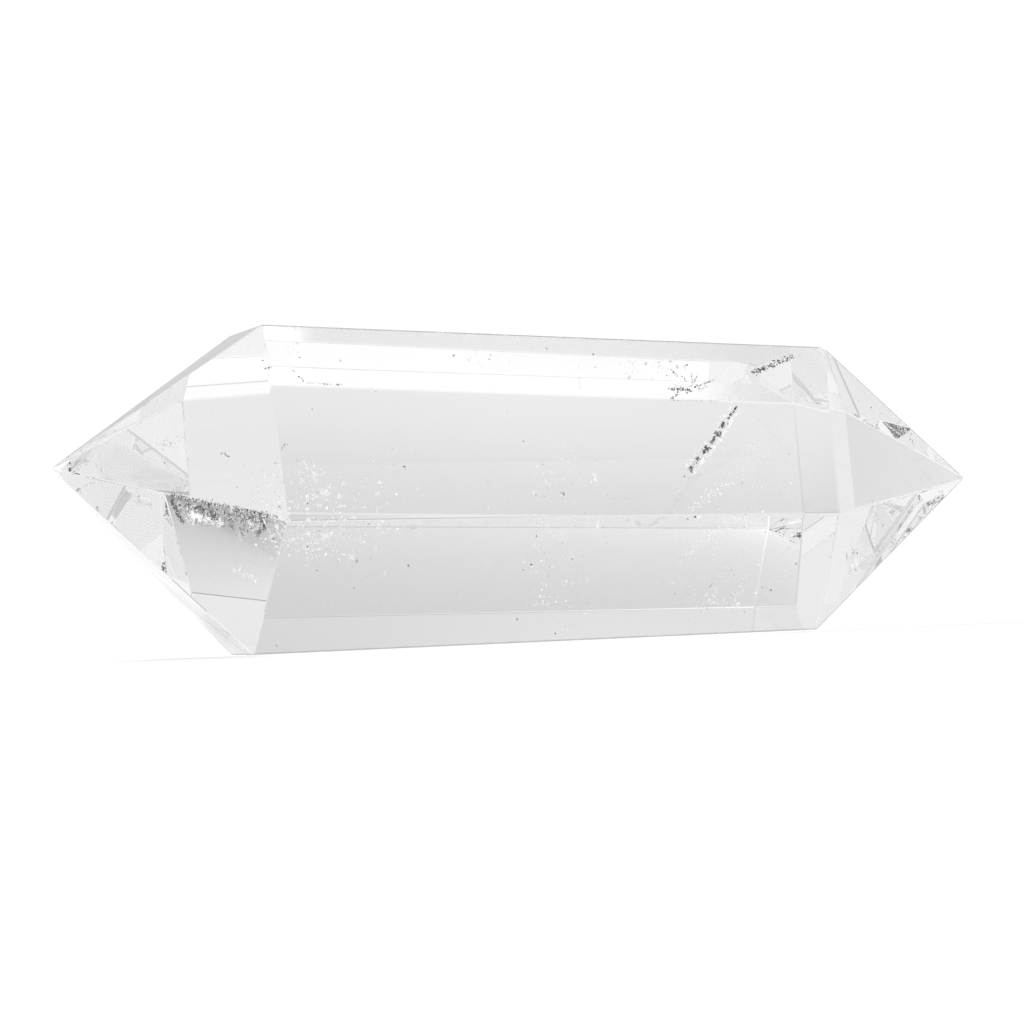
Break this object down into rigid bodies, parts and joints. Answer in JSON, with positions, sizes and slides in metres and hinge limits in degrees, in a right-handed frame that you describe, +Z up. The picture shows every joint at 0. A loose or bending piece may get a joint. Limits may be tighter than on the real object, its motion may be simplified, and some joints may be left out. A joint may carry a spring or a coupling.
{
  "type": "double terminated quartz",
  "caption": "Clear quartz crystal, cut and polished as a slightly tapered hexagonal prism with a faceted point at each end, lying on one long flat.",
  "frame": {"origin": "middle of the underside of the crystal's bounding box, on the flat that it rests on", "axes": "+X along the crystal, from the taller, blunter point to the slimmer one; +Z up, square to the resting flat; -Y faces the side that the picture shows"},
  "size_m": [0.0798, 0.0282, 0.0266],
  "materials": {
    "clear_quartz": "polished, water clear, with faint veils and specks inside"
  },
  "bodies": {
    "root": {"quartz_crystal": "clear_quartz"}
  },
  "joints": []
}
